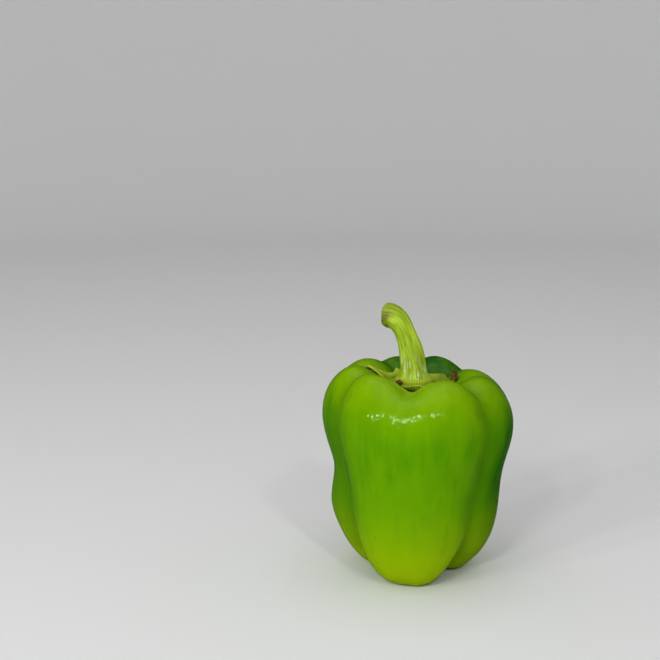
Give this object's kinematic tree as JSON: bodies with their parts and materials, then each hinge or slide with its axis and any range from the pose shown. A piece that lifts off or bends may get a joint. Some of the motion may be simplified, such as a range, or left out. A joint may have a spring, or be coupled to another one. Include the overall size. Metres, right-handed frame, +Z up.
{
  "type": "bell pepper",
  "caption": "Blocky lobed green bell pepper with a shallow dip between its shoulders, a thin pointed calyx in the dip and a ribbed stem that bends over to its cut end.",
  "frame": {"origin": "on the surface the pepper stands on, below the middle of its bounding box", "axes": "+Z up through the stem, -Y towards the broad front lobe that the picture shows, the stem's cut end leans towards -X"},
  "size_m": [0.085, 0.083, 0.1223],
  "materials": {
    "pepper_skin": "glossy, waxy green skin",
    "calyx_green": "dull yellow-green, brown and dry at the tips",
    "stem_green": "half-glossy pale green, ribbed"
  },
  "bodies": {
    "root": {"fruit": "pepper_skin", "calyx": "calyx_green", "stem": "stem_green"}
  },
  "joints": []
}
